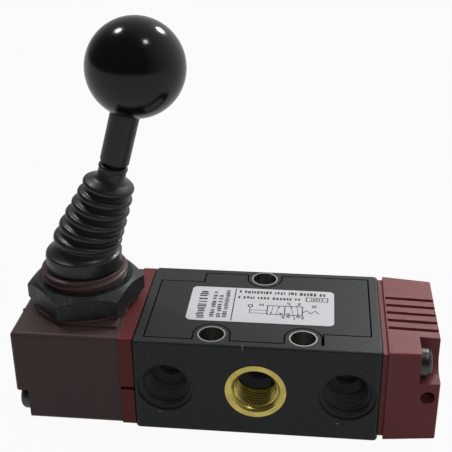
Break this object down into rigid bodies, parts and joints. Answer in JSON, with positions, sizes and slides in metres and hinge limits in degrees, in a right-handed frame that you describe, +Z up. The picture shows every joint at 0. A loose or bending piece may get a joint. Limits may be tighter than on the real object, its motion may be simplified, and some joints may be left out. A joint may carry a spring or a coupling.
{
  "type": "hand lever air valve",
  "caption": "Lever-operated spool air valve: ported black body, red end pieces and a ball-knob lever standing in a rubber bellows; springs back when let go.",
  "frame": {"origin": "centre of the valve body's bottom face, between the mounting holes' rows", "axes": "+X along the body from the lever housing to the spring cap, +Y to the side with the two working ports, +Z up"},
  "size_m": [0.0893, 0.0318, 0.085],
  "materials": {
    "body_polymer": "satin moulded, glass filled",
    "plate_polymer": "satin moulded",
    "label_film": "matt printed film",
    "brass": "turned",
    "sleeve_steel": "zinc plated",
    "cage_polymer": "natural acetal",
    "seal_rubber": "smooth",
    "aluminium": "hard anodised, polished",
    "driver_polymer": "acetal",
    "spring_steel": "drawn wire",
    "red_polymer": "satin moulded",
    "maroon_polymer": "satin moulded",
    "cap_polymer": "satin moulded",
    "screw_steel": "blackened",
    "nut_finish": "black plated, worn edges",
    "pin_steel": "ground",
    "black_steel": "blackened",
    "sleeve_polymer": "satin",
    "knob_polymer": "polished",
    "bellows_rubber": "satin rubber"
  },
  "bodies": {
    "body": {"valve_body": "body_polymer", "cover_plate": "plate_polymer", "label": "label_film", "port_insert_1": "brass", "port_insert_2": "brass", "port_insert_4": "brass", "mounting_sleeve_front_left": "sleeve_steel", "mounting_sleeve_front_right": "sleeve_steel", "mounting_sleeve_rear": "sleeve_steel", "seal_spacers": "cage_polymer", "spool_seals": "seal_rubber", "return_spring": "spring_steel", "spring_guide": "spring_steel", "end_flange": "red_polymer", "flange_gasket": "seal_rubber", "cap_gasket": "seal_rubber", "lever_housing": "maroon_polymer", "housing_screws": "screw_steel", "hex_nut": "nut_finish", "pivot_pin": "pin_steel", "bellows": "bellows_rubber", "spring_cap": "cap_polymer", "cap_screws": "screw_steel"},
    "lever": {"lever_rod": "black_steel", "pivot_bush": "brass", "drive_ball": "pin_steel", "lever_sleeve": "sleeve_polymer", "knob_insert": "brass", "ball_knob": "knob_polymer"},
    "spool": {"spool": "aluminium", "spool_driver": "driver_polymer"}
  },
  "joints": [
    {"name": "lever_tilt", "type": "hinge", "parent": "body", "child": "lever", "pos_m": [-0.0385, 0, 0.0255], "axis": [0, 1, 0], "range_deg": [-30.5, 0], "stiffness_Nm_per_rad": 0.127, "springref_deg": 24.92, "deforming": ["bellows"]},
    {"name": "spool_slide", "type": "slide", "parent": "body", "child": "spool", "axis": [1, 0, 0], "range_m": [0, 0.00489], "deforming": ["return_spring"]}
  ],
  "couplings": [
    {"joint": "spool_slide", "follows": "lever_tilt", "m_per_rad": -0.0091906}
  ]
}
